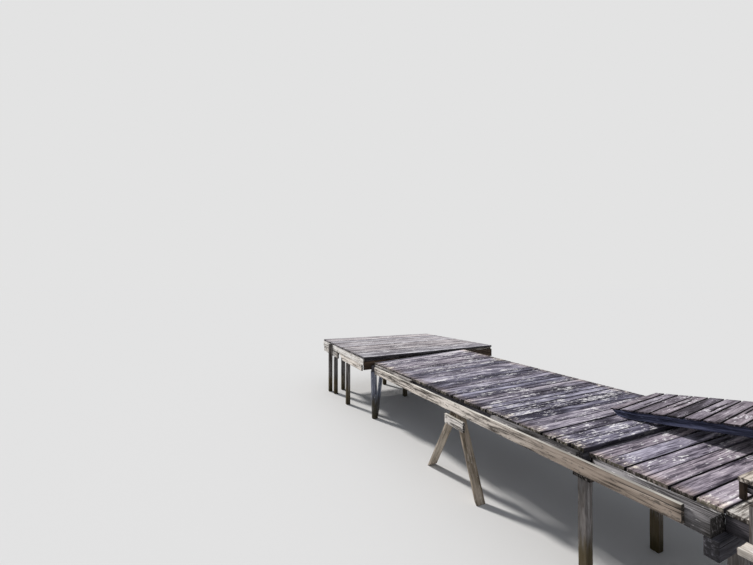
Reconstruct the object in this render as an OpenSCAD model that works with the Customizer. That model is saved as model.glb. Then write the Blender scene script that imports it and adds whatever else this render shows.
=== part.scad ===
// Weathered wooden jetty: a walkway on trestles, a square head over the water, a lower
// shore deck one plank down, and a gangway ramp lying on the far half of the deck.
// Inside the modules x runs toward the shore from the walkway's shore end, y runs across
// from the near edge of the walkway, and z is measured from the top of the walkway.

/* [Lumber] */
// Thickness of the deck planks
plank_t = 45; // [30:1:60]
// Usual width of a deck plank
plank_w = 167; // [120:1:230]
// Gap between deck planks
plank_gap = 4; // [2:1:14]
// Thickness of joists, beams and rails
board_t = 38; // [30:1:50]
// Depth of the deep joists, rims and outer beams
joist_h = 140; // [110:1:180]
// Depth of the shallow boards, such as the packing timbers
rail_h = 89; // [70:1:110]
// Depth of the cross beams under the head
cross_h = 184; // [150:1:230]
// Width of the square piles and posts
post_w = 92; // [70:1:120]
// Diameter of the log posts under the head's shore end
log_d = 138; // [90:1:150]
// Diameter of the log props under the walkway's lake end
prop_d = 90; // [70:1:110]

/* [Walkway] */
// Height of the walkway's top above the lowest feet
deck_h = 1330; // [1100:5:1700]
// Width of the walkway, near edge to far edge
deck_w = 2440; // [2000:10:3000]
// Length of the walkway
walk_len = 4930; // [4000:10:5600]
// How far the near lake corner of the walkway has sunk
near_sag = 120; // [0:1:150]
// Distance of the outer beam's inner face from the walkway's edge
beam_off = 60; // [50:1:120]
// How far the outer beam's top lies below the walkway's edge
beam_drop = 52; // [46:1:80]
// How far the outer beam stops short of the walkway's lake end
beam_short = 240; // [0:10:400]
// How far the outer beam runs on under the lower deck's edge
beam_run = 880; // [300:10:1000]
// Length of the packing timbers beside the shore end
packing_len = 1180; // [600:10:2000]
// How far the packing timbers' tops lie below the walkway's edge
packing_drop = 22; // [5:1:45]
// Inset of the outer joists from the walkway's edge
joist_inset = 60; // [20:1:200]
// How much shallower the shore header is than the joists
header_less = 5; // [2:1:20]

/* [Head] */
// Length of the head along the jetty
head_len = 3140; // [2600:10:3600]
// How far the head's near edge lies outside the walkway's near edge
head_near = 230; // [200:5:400]
// How far the head's far edge lies past the walkway's far edge
head_far = 910; // [300:10:1200]
// Height of the head's near shore corner over the walkway
head_near_shore = 12; // [-40:1:60]
// Height of the head's near lake corner over the walkway
head_near_lake = -10; // [-40:1:40]
// Gap between the head and the walkway's last plank
head_gap = 20; // [10:1:120]
// Height of the head's far shore corner over the walkway
head_far_shore = 40; // [-20:1:60]
// Height of the head's far lake corner over the walkway
head_far_lake = -40; // [-60:1:40]
// How far the rims stick out past the planks on the lake side
rim_nose = 40; // [0:1:100]
// Gap between the two pieces of the near lower beam, along its top
beam_break = 100; // [60:1:300]
// Length of the lake piece of the near lower beam
beam_lake_len = 1270; // [900:10:1600]
// Length of the slanted cut at the end of the near lower beam's shore piece
beam_slant = 300; // [100:10:400]
// How far the lake piece has dropped at its broken end
beam_droop = 24; // [5:1:60]
// How far the lower beams stop short of the rims' shore ends
beam_stop = 110; // [60:5:200]
// Open gap between the head's planks and the cross beams
cross_top_gap = 50; // [10:1:80]
// Distance of the lake bearer from the head's shore edge
bearer_lake = 2320; // [2000:10:2500]
// Distance of the shore bearer from the head's shore edge
bearer_shore = 1080; // [800:10:1300]
// Distance of the back piles from the head's shore edge
back_pile = 2050; // [1900:10:2200]
// Distance of the near inner pile from the head's near edge
inner_pile_near = 322; // [200:2:500]
// Distance of the middle inner piles from the head's near edge
inner_pile_middle = 1610; // [1300:10:1900]
// Distance of the far inner piles from the head's near edge
inner_pile_far = 2864; // [2600:2:3100]

/* [Logs] */
// Inset of the log posts from the walkway's edges
log_inset = 10; // [0:1:60]
// How far the log posts' feet stand shoreward of their tops
log_lean = 70; // [30:10:350]
// Inset of the log props from the walkway's edges
prop_inset = 190; // [170:5:300]
// How far the log props' feet stand lakeward of their tops
prop_lean = 150; // [50:10:200]
// How far the log props' feet stand outward of their tops
prop_splay = 60; // [0:5:80]

/* [Trestle] */
// Distance of the trestle from the walkway's shore end
trestle_x = 1945; // [1400:5:2600]
// Lean of the lakeward trestle legs from upright
lean_lake = 30; // [15:1:35]
// Lean of the shoreward trestle legs from upright
lean_shore = 22; // [15:1:30]
// Depth of the trestle boards below the walkway's top
trestle_board_z = 312; // [280:1:450]
// Length of the trestle boards
trestle_board_len = 435; // [420:5:700]
// How far the trestle boards' middle lies shoreward of the trestle's
trestle_board_shift = 45; // [0:5:100]

/* [Lower deck] */
// Step down from the walkway to the lower deck
step_h = 45; // [30:1:120]
// Open gap between the walkway's end and the lower deck
step_gap = 12; // [5:1:90]
// Number of planks in the lower deck
lower_count = 6; // [4:1:8]
// Inset of the lower deck's edge from the walkway's edge
lower_inset = 110; // [0:5:125]
// Length of the boards of the shore apron
apron_len = 1150; // [800:10:1500]
// Inset of the shore apron's edge from the walkway's edge
apron_inset = 130; // [110:5:250]
// Number of boards in the shore apron
apron_count = 10; // [8:1:14]
// Thickness of the apron's boards
apron_board_t = 33; // [18:1:40]
// Bearing of the lower deck's planks on the edge stringers
stringer_bearing = 30; // [20:1:60]
// How far the edge stringers' lips lie below the lower deck's top
stringer_lip_drop = 30; // [2:1:40]
// Length of the slanted lake ends of the edge stringers
stringer_slant = 190; // [60:5:200]
// Rise of the lower deck toward the shore
lower_rise = 20; // [0:1:40]
// Distance of the side step's top below the walkway's top
side_step_drop = 140; // [100:5:300]
// Length of the side step
side_step_len = 900; // [600:10:1000]
// How far the side step sticks out past the corner post on the lake side
side_step_nose = 15; // [0:1:80]
// Width of the side step's outer board
step_board_w = 140; // [100:1:160]
// Distance of the corner posts' middle from the lower deck's end
corner_post_off = 207; // [150:1:260]
// How far the corner posts stand up over the walkway's top
corner_post_rise = 110; // [40:5:200]

/* [Landing] */
// Height of the landing's top over the walkway's top
landing_rise = 146; // [110:1:160]
// Length of the landing
landing_len = 1040; // [800:10:1100]
// Distance of the landing's near edge from the walkway's edge
landing_near = 360; // [250:10:450]
// Distance of the landing's far edge from the walkway's edge
landing_far = 140; // [130:10:300]
// Number of boards in the landing
landing_count = 7; // [5:1:9]
// Thickness of the landing's boards
landing_board_t = 34; // [25:1:45]
// Width of the landing's short posts
landing_post_w = 40; // [35:1:60]
// Inset of the landing's posts from its edges
landing_post_inset = 20; // [5:1:60]

/* [Ramp] */
// Width of the gangway ramp
ramp_w = 1220; // [900:10:1240]
// Length of the gangway ramp
ramp_len = 2440; // [2000:10:3000]
// Thickness of the ramp's planks
ramp_plank_t = 20; // [16:1:45]
// Depth of the ramp's stringers
ramp_stringer_h = 92; // [70:1:110]
// Width of the ramp's planks
ramp_plank_w = 140; // [100:1:200]
// Width of the ramp's first plank, at its nose
ramp_nose_plank_w = 112; // [90:1:200]
// Gap between the ramp's planks
ramp_plank_gap = 13; // [6:1:25]
// Distance of the rest under the ramp's upper end from the ramp's nose
ramp_rest_u = 2150; // [1900:10:2250]
// How far the ramp's planks stick out past its stringers
ramp_overhang = 22; // [0:1:60]
// Slope of the ramp in degrees
ramp_slope = 8.3; // [7:0.1:10]
// Turn of the ramp away from the walkway in degrees
ramp_turn = 6.5; // [0:0.5:9]
// Place of the ramp's near foot along the walkway
ramp_x = -500; // [-900:10:-300]
// Place of the ramp's near foot across the walkway
ramp_y = 1210; // [1160:10:1250]
// Height of the top of the ramp's nose above the walkway
ramp_nose_h = 82; // [70:1:90]
// Distance of the ramp's stringers from its nose, along their tops
nose_top_u = 20; // [5:1:40]
// Distance of the ramp's stringers from its nose, where they meet the walkway
nose_foot_u = 75; // [60:1:120]

/* [Hidden] */
$fn = 48;

// Colours of the weathered wood
deck_grey = [0.58, 0.56, 0.60];
head_grey = [0.66, 0.64, 0.63];
bleached = [0.78, 0.75, 0.70];
beam_tan = [0.62, 0.57, 0.50];
shade_grey = [0.38, 0.37, 0.40];
pile_brown = [0.34, 0.29, 0.23];

// Small clearance where pieces meet at a slant
slip = 0.3;

function mix(a, b, t) = a + (b - a) * t;

// A bay is a deck surface between two joist lines: its lake end, shore end, near edge and
// far edge, then the height of its near lake, near shore, far lake and far shore corners
walk_bay = [-walk_len, 0, 0, deck_w, -near_sag, 0, 0, 0];
head_shore_x = -walk_len - head_gap;
head_lake_x = head_shore_x - head_len;
head_far_y = deck_w + head_far;
head_bay = [head_lake_x, head_shore_x, -head_near, head_far_y,
  head_near_lake, head_near_shore, head_far_lake, head_far_shore];

// Widths of the walkway's planks as sawn, from the shore end to the lake end
walkway_widths = [
  141, 151, 163, 151, 161, 169, 121, 126, 126, 116, 111, 106, 111, 121, 136, 161,
  146, 131, 126, 166, 141, 151, 216, 156, 161, 161, 166, 166, 166, 166, 186, 226
];

// Sum of the first numbers of a list
function sum_of(list, count) = count <= 0 ? 0 : list[count - 1] + sum_of(list, count - 1);

function bay_u(b, x) = (x - b[0]) / (b[1] - b[0]);
function bay_v(b, y) = (y - b[2]) / (b[3] - b[2]);
function bay_z(b, x, y) = mix(mix(b[4], b[5], bay_u(b, x)), mix(b[6], b[7], bay_u(b, x)), bay_v(b, y));
function bay_slope(b, y) = (bay_z(b, b[1], y) - bay_z(b, b[0], y)) / (b[1] - b[0]);
function bay_roll(b, x) = (bay_z(b, x, b[3]) - bay_z(b, x, b[2])) / (b[3] - b[2]);
function bay_middle(b) = (b[2] + b[3]) / 2;

// Depth at which a straight joist just clears the twisted run of planks above it
function seat(b, x, y) =
  max(walkway_widths) / 2 * abs(bay_slope(b, y) - bay_slope(b, bay_middle(b)))
  + board_t / 2 * abs(bay_roll(b, x))
  + slip;
function joist_top(b, x, y) = bay_z(b, x, y) - plank_t - seat(b, x, y);

// One plank laid across a bay, turned to follow the twist of its joists
module laid_plank(b, x, width) {
  across = b[3] - b[2];
  roll = atan(bay_roll(b, x));
  pitch = -atan(bay_slope(b, bay_middle(b)));
  translate([x, bay_middle(b), bay_z(b, x, bay_middle(b))])
    rotate([roll, pitch, 0])
      translate([-width / 2, -across / 2, -plank_t])
        cube([width, across, plank_t]);
}

// A run of planks filling a bay from one x to another
module plank_run(b, x_from, x_to) {
  count = round((x_to - x_from + plank_gap) / (plank_w + plank_gap));
  pitch = (x_to - x_from + plank_gap) / count;
  for (i = [0 : count - 1])
    laid_plank(b, x_from + pitch * (i + 0.5) - plank_gap / 2, pitch - plank_gap);
}

// A board on edge along x whose top line joins two heights; y is its near face
module edge_board(x0, z0, x1, z1, y, depth, thick = board_t) {
  translate([0, y + thick, 0])
    rotate([90, 0, 0])
      linear_extrude(thick)
        polygon([[x0, z0], [x1, z1], [x1, z1 - depth], [x0, z0 - depth]]);
}

// A joist on edge under a bay, its centre line at y
module bay_joist(b, x0, x1, y, depth, extra = 0) {
  edge_board(x0, joist_top(b, x0, y) - extra, x1, joist_top(b, x1, y) - extra, y - board_t / 2, depth);
}

// A board on edge along y whose top line joins two heights; x is its lake face
module cross_board(y0, z0, y1, z1, x, depth, thick = board_t) {
  translate([x, 0, 0])
    rotate([90, 0, 90])
      linear_extrude(thick)
        polygon([[y0, z0], [y1, z1], [y1, z1 - depth], [y0, z0 - depth]]);
}

// A square post from the floor up to a height, centred on x and y
module post(x, y, top_z, width = post_w) {
  translate([x - width / 2, y - width / 2, -deck_h])
    cube([width, width, top_z + deck_h]);
}

// Head: a square platform over the water
rim_end_x = head_shore_x - board_t;
lower_beam_extra = joist_h + slip;
beam_shore_x = rim_end_x - beam_stop;
beam_lake_x = head_lake_x + board_t;
beam_break_x = beam_lake_x + beam_lake_len;
bearer_lake_x = head_shore_x - bearer_lake;
bearer_shore_x = head_shore_x - bearer_shore;
head_joist_ys = [for (k = [1 : 3]) mix(-head_near, head_far_y, k / 4)];

module head_planks()
  color(head_grey) plank_run(head_bay, head_lake_x, head_shore_x);

module head_rim(y)
  color(bleached) bay_joist(head_bay, head_lake_x - rim_nose, rim_end_x, y, joist_h);
module head_rims() {
  head_rim(-head_near + board_t / 2);
  head_rim(head_far_y - board_t / 2);
}

module head_joists()
  color(shade_grey)
    for (y = head_joist_ys)
      bay_joist(head_bay, head_lake_x + board_t, rim_end_x, y, joist_h);

// Height of the lower beams' tops, which lie just under the rims
function lower_beam_top(x, y) = joist_top(head_bay, x, y) - lower_beam_extra;

// The near lower beam is in two pieces: the shore piece ends in a slanted cut
module head_beam_near_shore()
  color(bleached)
    translate([0, -head_near + board_t, 0])
      rotate([90, 0, 0])
        linear_extrude(board_t) {
          cut_x = beam_break_x + beam_break;
          foot_x = cut_x + beam_slant;
          polygon([
            [cut_x, lower_beam_top(cut_x, -head_near)],
            [beam_shore_x, lower_beam_top(beam_shore_x, -head_near)],
            [beam_shore_x, lower_beam_top(beam_shore_x, -head_near) - joist_h],
            [foot_x, lower_beam_top(foot_x, -head_near) - joist_h]
          ]);
        }

// The lake piece has dropped at its broken end
module head_beam_near_lake()
  color(bleached)
    edge_board(
      beam_lake_x, lower_beam_top(beam_lake_x, -head_near),
      beam_break_x, lower_beam_top(beam_break_x, -head_near) - beam_droop,
      -head_near, joist_h);

module head_beam_far()
  color(bleached)
    bay_joist(head_bay, beam_lake_x, beam_shore_x, head_far_y - board_t / 2, joist_h, lower_beam_extra);

function cross_top(x, y) = bay_z(head_bay, x, y) - plank_t - cross_top_gap;

module head_cross(x, inset)
  color(shade_grey)
    cross_board(
      -head_near + inset, cross_top(x, -head_near),
      head_far_y - inset, cross_top(x, head_far_y),
      x, cross_h);
module head_cross_shore() head_cross(rim_end_x, 0);
module head_cross_lake() head_cross(head_lake_x, board_t);

// Lowest joist underside along a bay at a place, used by whatever carries the joists
function under_joist(b, x, y) =
  min(joist_top(b, x - board_t, y), joist_top(b, x + board_t, y)) - joist_h - slip;
function bearer_top(x, y) = under_joist(head_bay, x, y) - slip;

module head_bearers()
  color(shade_grey)
    for (x = [bearer_lake_x, bearer_shore_x])
      cross_board(
        -head_near + board_t, bearer_top(x, -head_near),
        head_far_y - board_t, bearer_top(x, head_far_y),
        x - board_t / 2, joist_h);

function beam_under(x, y) = lower_beam_top(x, y) - joist_h;
function drooped_under(x) =
  beam_under(x, -head_near) - beam_droop * (x - beam_lake_x) / (beam_break_x - beam_lake_x);
near_pile_y = -head_near + board_t / 2;
far_pile_y = head_far_y - board_t / 2;
back_pile_x = head_shore_x - back_pile;
outer_pile_drop = plank_t / 2;

module head_piles_near()
  color(pile_brown) {
    post(bearer_lake_x, -head_near - post_w / 2, head_near_lake - outer_pile_drop);
    post(back_pile_x, near_pile_y, drooped_under(back_pile_x + post_w / 2) - slip);
    post(bearer_shore_x, near_pile_y, beam_under(bearer_shore_x - post_w / 2, -head_near) - slip);
  }

module head_piles_far()
  color(pile_brown) {
    post(bearer_lake_x, head_far_y + post_w / 2, head_far_lake - outer_pile_drop);
    for (x = [back_pile_x, bearer_shore_x])
      post(x, far_pile_y, beam_under(x - post_w / 2, head_far_y) - slip);
  }

// The inner piles stand under the bearers, three under the lake one and two under the other
inner_pile_ys = [for (y = [inner_pile_near, inner_pile_middle, inner_pile_far]) y - head_near];
module inner_pile(x, y)
  post(x, y, min(bearer_top(x, y - post_w / 2), bearer_top(x, y + post_w / 2)) - joist_h - slip);

module head_piles_inner()
  color(pile_brown) {
    for (y = inner_pile_ys)
      inner_pile(bearer_lake_x, y);
    for (k = [1, 2])
      inner_pile(bearer_shore_x, inner_pile_ys[k]);
  }

// Walkway: planks of mixed widths on three joists between two headers
widths_count = len(walkway_widths);
widths_scale = (walk_len - (widths_count - 1) * plank_gap) / sum_of(walkway_widths, widths_count);
widths_split = floor(widths_count / 2);
joist_ys = [joist_inset, deck_w / 2, deck_w - joist_inset];
header_lake_x = head_shore_x;
joist_lake_x = header_lake_x + board_t;

module walkway_planks(from, to)
  color(deck_grey)
    for (i = [from : to]) {
      width = walkway_widths[i] * widths_scale;
      shore_edge = -sum_of(walkway_widths, i) * widths_scale - i * plank_gap;
      laid_plank(walk_bay, shore_edge - width / 2, width);
    }
module walkway_planks_shore() walkway_planks(0, widths_split);
module walkway_planks_lake() walkway_planks(widths_split + 1, widths_count - 1);

module walkway_joist(y)
  color(shade_grey) bay_joist(walk_bay, joist_lake_x, -board_t, y, joist_h);
module joist_near() walkway_joist(joist_ys[0]);
module joist_middle() walkway_joist(joist_ys[1]);
module joist_far() walkway_joist(joist_ys[2]);

// The lake header is fixed to the head's cross beam, and the shore header is a little shallower
header_inset = joist_inset - board_t / 2;
module walkway_headers()
  color(shade_grey) {
    cross_board(
      -beam_off, joist_top(walk_bay, header_lake_x, -beam_off),
      deck_w + beam_off, joist_top(walk_bay, header_lake_x, deck_w + beam_off),
      header_lake_x, joist_h);
    cross_board(
      header_inset, joist_top(walk_bay, 0, 0), deck_w - header_inset, joist_top(walk_bay, 0, deck_w),
      -board_t, joist_h - header_less);
  }

// Packing timbers stand between the plank ends and the outer beams
packing_w = beam_off - slip;
function beam_line(x) = bay_z(walk_bay, x, 0) - beam_drop;
function packing_line(x) = bay_z(walk_bay, x, 0) - packing_drop;

module packing_timber(y)
  color(shade_grey)
    edge_board(-packing_len, packing_line(-packing_len), 0, packing_line(0), y, rail_h, packing_w);
module packing_timbers() {
  packing_timber(-beam_off);
  packing_timber(deck_w + slip);
}

beam_end_x = -walk_len + beam_short;
module outer_beam(y)
  color(beam_tan) edge_board(beam_end_x, beam_line(beam_end_x), beam_run, beam_line(beam_run), y, joist_h);
module outer_beam_near() outer_beam(-beam_off - board_t);
module outer_beam_far() outer_beam(deck_w + beam_off);

// A round log leaning between a point at its top and a point at its foot
module leaning_log(x_top, y_top, z_top, x_foot, y_foot, diameter) {
  dx = x_top - x_foot;
  dy = y_top - y_foot;
  dz = z_top + deck_h;
  run = sqrt(dx * dx + dy * dy);
  length = sqrt(run * run + dz * dz);
  reach = run + diameter;
  intersection() {
    translate([x_foot, y_foot, -deck_h])
      rotate([-asin(dy / length), atan2(dx, dz), 0])
        translate([0, 0, -diameter])
          cylinder(h = length + 2 * diameter, d = diameter);
    translate([x_foot - reach, y_foot - reach, -deck_h])
      cube([2 * reach, 2 * reach, dz]);
  }
}

// Logs under the head's shore end, one each side, leaning toward the shore at the foot
log_x = rim_end_x + board_t / 2;
function cross_under(y) = cross_top(rim_end_x, y) - cross_h;
function header_under(y) = joist_top(walk_bay, header_lake_x, y) - joist_h;

// A leaning log's top lies just below the lower of the two beams over it. The share is a
// little over half a diameter, because the slanted log is wider where it is cut level
log_spread = 0.55;
function log_top(y, diameter) =
  let (edge = y - log_spread * diameter)
  min(cross_under(edge), header_under(edge)) - slip;

module log_posts()
  color(pile_brown)
    for (y = [log_inset, deck_w - log_inset])
      leaning_log(log_x, y, log_top(y, log_d), log_x + log_lean, y, log_d);

// Thinner props under the walkway's lake header, leaning the other way and outward
header_x = header_lake_x + board_t / 2;

module log_prop(y, outward)
  leaning_log(
    header_x, y, log_top(y, prop_d),
    header_x - prop_lean, y + outward * prop_splay, prop_d);

module log_props()
  color(pile_brown) {
    log_prop(prop_inset, -1);
    log_prop(deck_w - prop_inset, 1);
  }

// Trestle: a ridge under the joists and a pair of splayed board legs at each side
plumb_cut = board_t;
leg_w = joist_h;
leg_ys = [-beam_off, deck_w + beam_off - leg_w];
ridge_lake_x = -trestle_x - post_w / 2;
ridge_shore_x = -trestle_x + post_w / 2;
function ridge_top(y) =
  min(under_joist(walk_bay, ridge_lake_x, y), under_joist(walk_bay, ridge_shore_x, y)) - slip;
leg_top_z = ridge_top(-beam_off) - slip;

module trestle_ridge()
  color(shade_grey)
    cross_board(-beam_off, ridge_top(-beam_off), deck_w + beam_off, ridge_top(deck_w + beam_off),
      ridge_lake_x, joist_h, post_w);

// A leg leaning toward +x, its top corner at x = 0, with a plumb cut against the ridge
module splayed_leg(lean) {
  drop = deck_h + leg_top_z;
  wide = board_t / cos(lean);
  foot_x = (drop - plumb_cut) * tan(lean);
  rotate([90, 0, 0])
    linear_extrude(leg_w)
      polygon([
        [0, 0], [0, -plumb_cut], [foot_x, -drop],
        [foot_x + wide, -drop], [wide - plumb_cut * tan(lean), 0]
      ]);
}

module trestle_legs()
  color(shade_grey)
    for (y = leg_ys) {
      translate([ridge_shore_x + slip, y + leg_w, leg_top_z])
        splayed_leg(lean_shore);
      translate([ridge_lake_x - slip, y + leg_w, leg_top_z])
        mirror([1, 0, 0])
          splayed_leg(lean_lake);
    }

trestle_board_x = -trestle_x + trestle_board_shift;
module trestle_boards()
  color(bleached)
    for (y = [-beam_off - board_t, deck_w + beam_off])
      translate([trestle_board_x - trestle_board_len / 2, y, -trestle_board_z - joist_h])
        cube([trestle_board_len, board_t, joist_h]);

// Shore bent: a cap on three posts under the meeting ends of both decks
bent_cap_w = 2 * post_w;
bent_cap_h = rail_h;
bent_x = step_gap / 2;
bent_top = under_joist(walk_bay, -bent_cap_w, 0) - slip;

module shore_bent_cap()
  color(shade_grey)
    translate([bent_x - bent_cap_w / 2, 0, bent_top - bent_cap_h])
      cube([bent_cap_w, deck_w, bent_cap_h]);

module shore_bent_posts()
  color(pile_brown)
    for (y = joist_ys)
      post(bent_x, y, bent_top - bent_cap_h);

// Lower deck: one plank down, rising a little toward the shore
lower_lake_x = step_gap;
lower_shore_x = lower_lake_x + lower_count * (plank_w + plank_gap) - plank_gap;
lower_top = -step_h;
lower_bay = [lower_lake_x, lower_shore_x, lower_inset, deck_w - lower_inset,
  lower_top, lower_top + lower_rise, lower_top, lower_top + lower_rise];
apron_x = lower_shore_x + slip;
apron_end_x = apron_x + apron_len;
apron_board_z = lower_top + lower_rise - plank_t;
apron_top = apron_board_z + apron_board_t;

module lower_deck_planks()
  color(deck_grey) plank_run(lower_bay, lower_lake_x, lower_shore_x);

// A stringer with a level underside that rises along with the lower deck. Its top lies a
// drop below the planks' tops, and y is its near face
module lower_stringer(y, thick, drop)
  translate([0, y + thick, 0])
    rotate([90, 0, 0])
      linear_extrude(thick)
        polygon([
          [lower_lake_x, lower_top - drop], [lower_shore_x, lower_top + lower_rise - drop],
          [lower_shore_x, bent_top], [lower_lake_x, bent_top]
        ]);

// The edge stringers carry the planks on a rebate, and their lips stand outside the plank
// ends. They are cut to a point on the lake side
edge_stringer_w = beam_off + lower_inset + stringer_bearing;
stringer_lip_w = beam_off + lower_inset - slip;
module lower_edge_stringer()
  difference() {
    union() {
      lower_stringer(-beam_off, edge_stringer_w, plank_t + slip);
      lower_stringer(-beam_off, stringer_lip_w, stringer_lip_drop);
    }
    translate([lower_lake_x, -beam_off, bent_top - joist_h])
      linear_extrude(3 * joist_h)
        polygon([[-slip, -slip], [stringer_slant, -slip], [-slip, edge_stringer_w]]);
  }

module lower_deck_stringers()
  color(deck_grey) {
    lower_edge_stringer();
    lower_stringer(deck_w / 2 - board_t / 2, board_t, plank_t + slip);
    translate([0, deck_w, 0])
      mirror([0, 1, 0])
        lower_edge_stringer();
  }

// Apron: thinner boards, side by side on their own stringers
apron_pitch = (apron_len + plank_gap) / apron_count;

module apron_boards()
  color(bleached)
    for (i = [0 : apron_count - 1])
      translate([apron_x + i * apron_pitch, apron_inset, apron_board_z])
        cube([apron_pitch - plank_gap, deck_w - 2 * apron_inset, apron_board_t]);

apron_stringer_ys = [apron_inset, (deck_w - board_t) / 2, deck_w - apron_inset - board_t];
module apron_stringers()
  color(shade_grey)
    for (y = apron_stringer_ys)
      translate([apron_x, y, bent_top])
        cube([apron_len, board_t, apron_board_z - slip - bent_top]);

// One cross bearer under the joint of both sets of stringers and one under the apron's end
bearer_w = post_w;
joint_x = lower_shore_x - bearer_w / 2;
end_bearer_x = apron_end_x - bearer_w;
bearer_post_y = apron_inset + 2 * post_w;

module apron_bearers()
  color(shade_grey) {
    translate([joint_x, -beam_off, bent_top - slip - joist_h])
      cube([bearer_w, deck_w + 2 * beam_off, joist_h]);
    translate([end_bearer_x, apron_inset, bent_top - slip - joist_h])
      cube([bearer_w, deck_w - 2 * apron_inset, joist_h]);
  }

module apron_posts()
  color(pile_brown)
    for (x = [joint_x, end_bearer_x])
      for (y = [bearer_post_y, deck_w - bearer_post_y])
        post(x + bearer_w / 2, y, bent_top - slip - joist_h);

// Corner posts stand against the apron's edge boards
corner_x = apron_x + corner_post_off;
module corner_posts()
  color(pile_brown)
    for (y = [apron_inset - post_w / 2, deck_w - apron_inset + post_w / 2])
      post(corner_x, y, corner_post_rise);

// Side step: two boards on rails, the first rail against the corner post, each on a leg
post_face_x = corner_x + post_w / 2;
side_step_x = corner_x - post_w / 2 - side_step_nose;
side_step_end_x = side_step_x + side_step_len;
side_step_y = apron_inset - post_w - step_board_w;
side_rail_xs = [post_face_x, side_step_end_x - 2 * board_t];
side_rail_z = -side_step_drop - plank_t - rail_h;
inner_board_x = post_face_x + plank_gap;
inner_board_w = post_w - 2 * plank_gap;

module side_step_boards()
  color(bleached) {
    translate([side_step_x, side_step_y, -side_step_drop - plank_t])
      cube([side_step_len, step_board_w, plank_t]);
    translate([inner_board_x, side_step_y + step_board_w + plank_gap, -side_step_drop - plank_t])
      cube([side_step_end_x - inner_board_x, inner_board_w, plank_t]);
  }

module side_step_rails()
  color(shade_grey)
    for (x = side_rail_xs)
      translate([x, side_step_y, side_rail_z])
        cube([board_t, step_board_w + plank_gap + inner_board_w, rail_h]);

module side_step_legs()
  color(pile_brown)
    for (x = side_rail_xs)
      translate([x, side_step_y, -deck_h])
        cube([board_t, rail_h, deck_h + side_rail_z]);

// Landing: a low stage with boards laid across, on three rails behind short posts.
// Its lake posts stand on the edge of the lower deck's last plank, half over the joint, and
// its shore posts on the apron.
landing_x = lower_shore_x - landing_post_w / 2;
landing_w = deck_w - landing_near - landing_far;
landing_pitch = (landing_len + plank_gap) / landing_count;
landing_under = landing_rise - landing_board_t;
landing_post_xs = [landing_x, landing_x + landing_len - landing_post_w - landing_post_inset];
landing_post_ys = [
  landing_near + landing_post_inset,
  deck_w / 2,
  deck_w - landing_far - landing_post_inset - landing_post_w - board_t
];

module landing_boards()
  color(bleached)
    for (i = [0 : landing_count - 1])
      translate([landing_x + i * landing_pitch, landing_near, landing_under])
        cube([landing_pitch - plank_gap, landing_w, landing_board_t]);

module landing_posts()
  color(pile_brown)
    for (k = [0, 1])
      for (y = landing_post_ys) {
        foot = k == 0 ? lower_top + lower_rise : apron_top;
        translate([landing_post_xs[k], y, foot])
          cube([landing_post_w, landing_post_w, landing_under - foot]);
      }

module landing_rails()
  color(shade_grey)
    for (y = landing_post_ys)
      translate([landing_x, y + landing_post_w, landing_under - rail_h])
        cube([landing_len, board_t, rail_h]);

// Ramp: in its own frame u runs up the ramp, v across it and w square to its planks.
// Its stringers lie on the walkway, a hair over the planks that stand highest
ramp_seat = max(walkway_widths) / 2 * abs(bay_slope(walk_bay, deck_w / 2)) + slip;
ramp_depth = ramp_plank_t + ramp_stringer_h;
function seat_w(u) = (ramp_seat - ramp_nose_h - u * sin(ramp_slope)) / cos(ramp_slope);
heel_u = (ramp_seat - ramp_nose_h + ramp_depth * cos(ramp_slope)) / sin(ramp_slope);

module on_ramp()
  translate([ramp_x, ramp_y, ramp_nose_h])
    rotate([0, 0, ramp_turn])
      rotate([0, -ramp_slope, 0])
        children();

// The nose plank, then planks of one width up to the end
ramp_second_u = ramp_nose_plank_w + ramp_plank_gap;
ramp_run = ramp_len - ramp_second_u + ramp_plank_gap;
module ramp_planks()
  color(deck_grey)
    on_ramp() {
      translate([0, 0, -ramp_plank_t])
        cube([ramp_nose_plank_w, ramp_w, ramp_plank_t]);
      count = round(ramp_run / (ramp_plank_w + ramp_plank_gap));
      pitch = ramp_run / count;
      for (i = [0 : count - 1])
        translate([ramp_second_u + i * pitch, 0, -ramp_plank_t])
          cube([pitch - ramp_plank_gap, ramp_w, ramp_plank_t]);
    }

// Each stringer is cut level where it lies on the walkway and slanted at its nose
module ramp_stringer(v)
  translate([0, v + board_t, 0])
    rotate([90, 0, 0])
      linear_extrude(board_t)
        polygon([
          [nose_top_u, -ramp_plank_t], [ramp_len, -ramp_plank_t], [ramp_len, -ramp_depth],
          [heel_u, -ramp_depth], [nose_foot_u, seat_w(nose_foot_u)]
        ]);

module ramp_stringers()
  color(shade_grey)
    on_ramp()
      for (v = [ramp_overhang, ramp_w / 2 - board_t / 2, ramp_w - ramp_overhang - board_t])
        ramp_stringer(v);

// Height of the stringers' undersides at a level distance from the ramp's nose
function ramp_under(run) =
  ramp_nose_h - ramp_depth / cos(ramp_slope) + run * tan(ramp_slope);

// The rest lies across the landing under the ramp's upper end
module ramp_rest()
  color(shade_grey)
    translate([ramp_x, ramp_y, landing_rise])
      rotate([0, 0, ramp_turn])
        translate([ramp_rest_u, ramp_overhang, 0])
          cube([post_w, ramp_w - 2 * ramp_overhang, ramp_under(ramp_rest_u) - slip - landing_rise]);

// The whole jetty stands on its feet, centred over its own plan
x_min = head_lake_x - rim_nose;
x_max = apron_end_x;
y_min = -head_near - post_w;
y_max = head_far_y + post_w;
module placed()
  translate([-(x_min + x_max) / 2, -(y_min + y_max) / 2, deck_h])
    children();

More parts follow.
